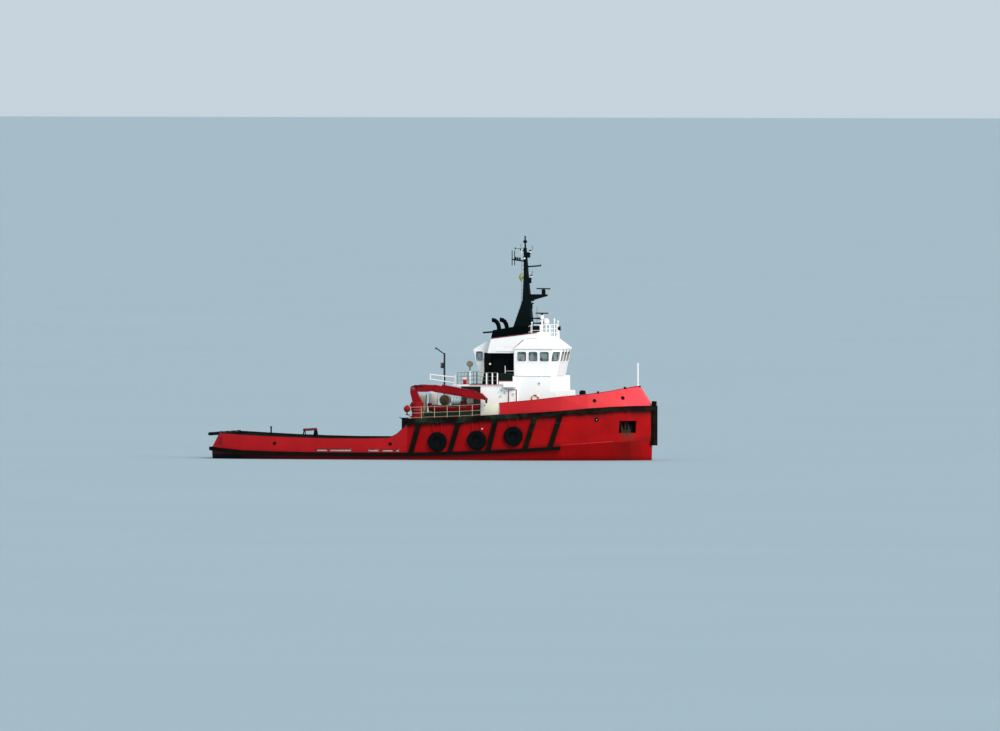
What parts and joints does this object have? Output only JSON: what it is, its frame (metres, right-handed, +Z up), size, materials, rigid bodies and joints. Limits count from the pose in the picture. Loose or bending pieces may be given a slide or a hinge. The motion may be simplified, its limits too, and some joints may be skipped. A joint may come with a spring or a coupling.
{
  "type": "tugboat",
  "caption": "Deep-sea towing tug with raised foredeck, tall wheelhouse, side casings, mast, knuckle-boom crane, tow winch and nozzled propellers.",
  "frame": {"origin": "amidships on the centreline, on the waterline", "axes": "+X forward to the bow, +Y to port, +Z up"},
  "size_m": [37.19, 10.5006, 22.4003],
  "materials": {
    "hull_red": "worn red paint",
    "bulwark_red": "red paint",
    "white": "white paint with rust runs",
    "black": "matt black-green paint",
    "green": "dark green deck paint",
    "rubber": "scuffed black rubber",
    "steel": "grey painted steel",
    "bronze": "dull bronze",
    "crane_red": "dark red paint",
    "boat_red": "dark red fabric-covered tubes",
    "glass": "dark tinted glass",
    "fittings": "dark grey indoor fittings",
    "rope": "wound rope"
  },
  "bodies": {
    "vessel": {"hull": "hull_red", "raised_foredeck": "hull_red", "bulwark_forward": "bulwark_red", "bulwark_aft": "hull_red", "fender_bow": "rubber", "fender_port": "rubber", "fender_starboard": "rubber", "tyre_1_port": "rubber", "tyre_1_starboard": "rubber", "tyre_2_port": "rubber", "tyre_2_starboard": "rubber", "tyre_3_port": "rubber", "tyre_3_starboard": "rubber", "anchor_port": "steel", "anchor_starboard": "steel", "nozzle_port": "hull_red", "nozzle_starboard": "hull_red", "winch_frame": "green", "windlass_frame": "green", "stern_rail": "black", "towing_beam": "crane_red", "deckhouse": "white", "bridge_deck": "white", "wheelhouse_walls": "white", "wheelhouse_roof": "white", "wheelhouse_glass": "glass", "wheelhouse_fittings": "fittings", "casing_port": "white", "casing_starboard": "white", "funnel_cap": "black", "mast": "black", "boat_deck_rail_port": "white", "boat_deck_rail_starboard": "white", "break_rail": "white", "bridge_rail_port": "white", "bridge_rail_starboard": "white", "bridge_rail_aft": "white", "roof_rail": "white", "crane_base": "crane_red", "rescue_boat": "boat_red", "boat_cradle": "green", "deck_gear": "white"},
    "crane_column": {"crane_column": "crane_red"},
    "crane_boom": {"crane_boom": "crane_red"},
    "crane_jib": {"crane_jib": "crane_red"},
    "crane_hook": {"crane_hook": "steel"},
    "davit": {"davit": "white"},
    "rope_reel": {"rope_reel": "rope"},
    "winch_drum": {"winch_drum": "green"},
    "windlass_drum": {"windlass_drum": "steel"},
    "radar_main": {"radar_main": "black"},
    "radar_upper": {"radar_upper": "white"},
    "propeller_port": {"propeller_port": "bronze"},
    "propeller_starboard": {"propeller_starboard": "bronze"},
    "rudder_port": {"rudder_port": "hull_red"},
    "rudder_starboard": {"rudder_starboard": "hull_red"},
    "deckhouse_door_port": {"deckhouse_door_port": "white"},
    "deckhouse_door_starboard": {"deckhouse_door_starboard": "white"},
    "wheelhouse_door_port": {"wheelhouse_door_port": "white"},
    "wheelhouse_door_starboard": {"wheelhouse_door_starboard": "white"}
  },
  "joints": [
    {"name": "crane_slew", "type": "hinge", "parent": "vessel", "child": "crane_column", "pos_m": [-0.8, -4, 4], "axis": [0, 0, 1], "range_deg": [-180, 0]},
    {"name": "crane_luff", "type": "hinge", "parent": "crane_column", "child": "crane_boom", "pos_m": [-1.1, -4, 5.85], "axis": [0, -1, 0], "range_deg": [0, 60]},
    {"name": "crane_knuckle", "type": "hinge", "parent": "crane_boom", "child": "crane_jib", "pos_m": [0.35, -4, 5.9], "axis": [0, -1, 0], "range_deg": [0, 45]},
    {"name": "crane_hook_swing", "type": "hinge", "parent": "crane_jib", "child": "crane_hook", "pos_m": [5.03, -4, 5], "axis": [0, 1, 0], "range_deg": [-50, 50]},
    {"name": "davit_slew", "type": "hinge", "parent": "vessel", "child": "davit", "pos_m": [2.2, -3.2, 6.2], "axis": [0, 0, 1], "range_deg": [0, 90]},
    {"name": "rope_reel_turn", "type": "hinge", "parent": "vessel", "child": "rope_reel", "pos_m": [1.18, -2.4, 4.9003], "axis": [0, 1, 0], "continuous": true},
    {"name": "winch_drum_turn", "type": "hinge", "parent": "vessel", "child": "winch_drum", "pos_m": [1.2, 0, 1.8503], "axis": [0, 1, 0], "continuous": true},
    {"name": "windlass_drum_turn", "type": "hinge", "parent": "vessel", "child": "windlass_drum", "pos_m": [13.4, 0, 5.0003], "axis": [0, 1, 0], "continuous": true},
    {"name": "radar_main_turn", "type": "hinge", "parent": "vessel", "child": "radar_main", "pos_m": [8.9, 0, 13.95], "axis": [0, 0, 1], "continuous": true},
    {"name": "radar_upper_turn", "type": "hinge", "parent": "vessel", "child": "radar_upper", "pos_m": [9.1, -1.4, 11.9], "axis": [0, 0, 1], "continuous": true},
    {"name": "propeller_port_turn", "type": "hinge", "parent": "vessel", "child": "propeller_port", "pos_m": [-14.5, 2.2, -2.55], "axis": [1, 0, 0], "continuous": true},
    {"name": "propeller_starboard_turn", "type": "hinge", "parent": "vessel", "child": "propeller_starboard", "pos_m": [-14.5, -2.2, -2.55], "axis": [1, 0, 0], "continuous": true},
    {"name": "rudder_port_turn", "type": "hinge", "parent": "vessel", "child": "rudder_port", "pos_m": [-16.3, 2.2, -1.2], "axis": [0, 0, 1], "range_deg": [-35, 35]},
    {"name": "rudder_starboard_turn", "type": "hinge", "parent": "vessel", "child": "rudder_starboard", "pos_m": [-16.3, -2.2, -1.2], "axis": [0, 0, 1], "range_deg": [-35, 35]},
    {"name": "deckhouse_door_port_hinge", "type": "hinge", "parent": "vessel", "child": "deckhouse_door_port", "pos_m": [6.78, 3.4805, 4.9], "axis": [0, 0, 1], "range_deg": [0, 110]},
    {"name": "deckhouse_door_starboard_hinge", "type": "hinge", "parent": "vessel", "child": "deckhouse_door_starboard", "pos_m": [6.78, -3.4805, 4.9], "axis": [0, 0, -1], "range_deg": [0, 110]},
    {"name": "wheelhouse_door_port_hinge", "type": "hinge", "parent": "vessel", "child": "wheelhouse_door_port", "pos_m": [7.0995, 2.24, 7.9], "axis": [0, 0, 1], "range_deg": [0, 90]},
    {"name": "wheelhouse_door_starboard_hinge", "type": "hinge", "parent": "vessel", "child": "wheelhouse_door_starboard", "pos_m": [7.0995, -2.24, 7.9], "axis": [0, 0, -1], "range_deg": [0, 90]}
  ]
}
